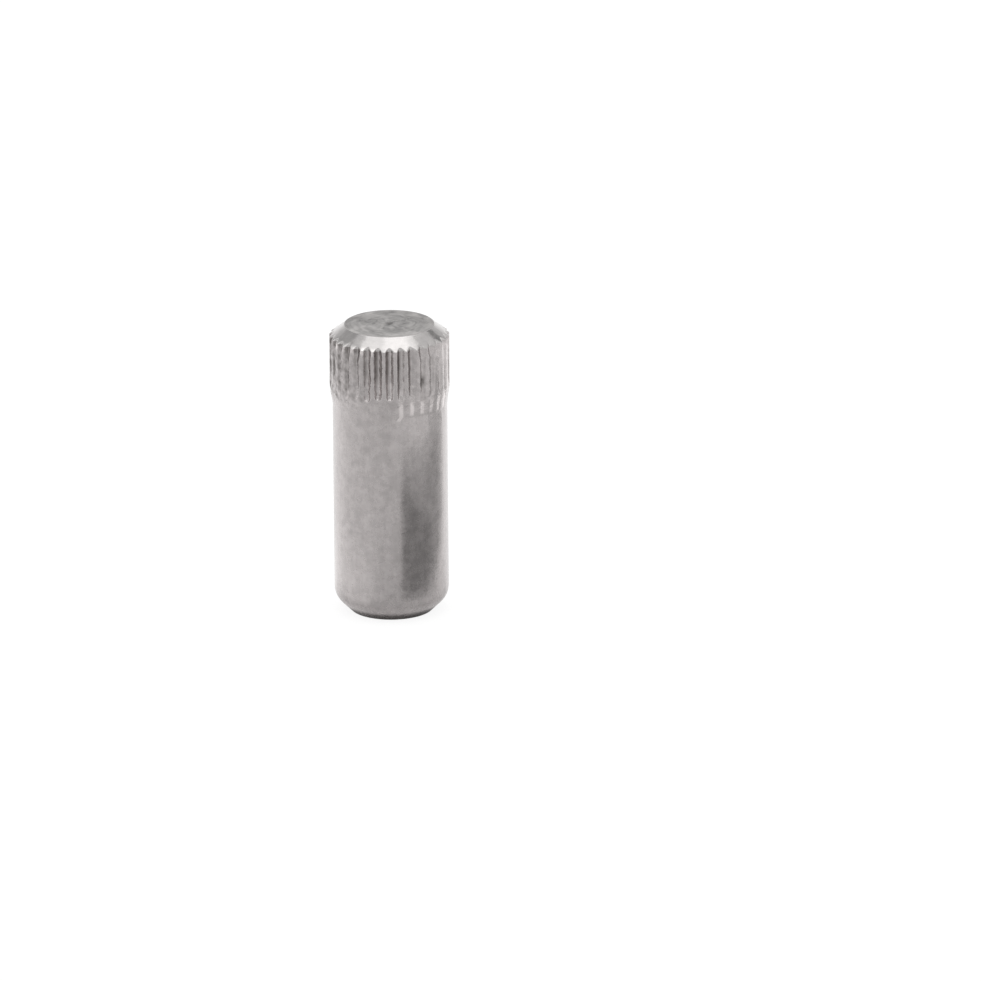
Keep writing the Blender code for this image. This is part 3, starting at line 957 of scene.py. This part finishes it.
# The near card is bent round the pin's right front and paints a dark reflection on the pin's right side.
# Its lower part is the darkest. Each layer has its shade, and its bottom and top in millimetres by degrees
# to the right.
NEAR_CARD_DISTANCE = 6.5 * MM
NEAR_CARD_LAYER_GAP = 0.2 * MM
NEAR_CARD_LAYERS = (
    (0.3, [(16.6, 0, 5.6), (20, 0, 6.0), (28, 0, 5.9), (38, 0, 5.4), (48, 0, 5.0), (60, 0.4, 4.5),
           (70, 1.6, 3.8), (76, 2.6, 3.0)]),
    (0.48, [(16.4, 0, 6.6), (20, 0, 7.2), (28, 0, 7.3), (38, 0, 6.8), (48, 0, 6.7), (60, 0, 7.4),
            (73, 0.4, 8.3), (84, 1.6, 8.8), (92, 3, 7)]),
    (0.68, [(16.2, 0, 7.6), (22, 0, 8.7), (38, 0, 8.7), (48, 0, 8.4), (60, 0, 8.8), (72, 0.2, 9.8),
            (80, 0.4, 13), (96, 2.2, 13), (104, 4, 11)]),
)

for layer, (shade, edges) in enumerate(NEAR_CARD_LAYERS):
    points = []
    for degrees, low, high in edges:
        x, y, _ = towards(degrees, 0, NEAR_CARD_DISTANCE + layer * NEAR_CARD_LAYER_GAP)
        points.append(((x, y, low * MM), (x, y, high * MM)))
    dark_card(f"near_card_{layer}", points, shade)

# The room is white in the picture. The walls that the steel reflects are bright low down and darker
# above, by the height of the direction towards them: 0 is level, and 1 is straight up.
ROOM_STRENGTH = 0.8
WALLS_BY_HEIGHT = [(0.0, 1.25), (0.2, 1.05), (0.3, 0.74), (0.5, 0.82), (0.8, 0.92), (1.0, 0.9)]

world = bpy.data.worlds.new("studio")
bpy.context.scene.world = world
world.use_nodes = True
tree = world.node_tree
tree.nodes.clear()
looking = add_node(tree, "ShaderNodeTexCoord", {}).outputs["Generated"]
upward = add_node(tree, "ShaderNodeSeparateXYZ", {0: looking}).outputs["Z"]
walls = add_node(tree, "ShaderNodeValToRGB", {"Fac": upward})
walls.color_ramp.interpolation = "EASE"
while len(walls.color_ramp.elements) < len(WALLS_BY_HEIGHT):
    walls.color_ramp.elements.new(0.5)
for element, (position, grey) in zip(walls.color_ramp.elements, WALLS_BY_HEIGHT):
    element.position = position
    element.color = (grey, grey, grey, 1)
reflected = add_node(tree, "ShaderNodeBackground", {"Color": walls.outputs["Color"]}).outputs[0]
room = add_node(tree, "ShaderNodeBackground", {"Color": (1, 1, 1, 1), "Strength": ROOM_STRENGTH}).outputs[0]
white = add_node(tree, "ShaderNodeBackground", {"Color": (1, 1, 1, 1)}).outputs[0]
rays = add_node(tree, "ShaderNodeLightPath", {}).outputs
lit = add_node(tree, "ShaderNodeMixShader", {0: rays["Is Glossy Ray"], 1: room, 2: reflected}).outputs[0]
shown = add_node(tree, "ShaderNodeMixShader", {0: rays["Is Camera Ray"], 1: lit, 2: white}).outputs[0]
add_node(tree, "ShaderNodeOutputWorld", {"Surface": shown})

bpy.context.scene.view_settings.view_transform = "Standard"
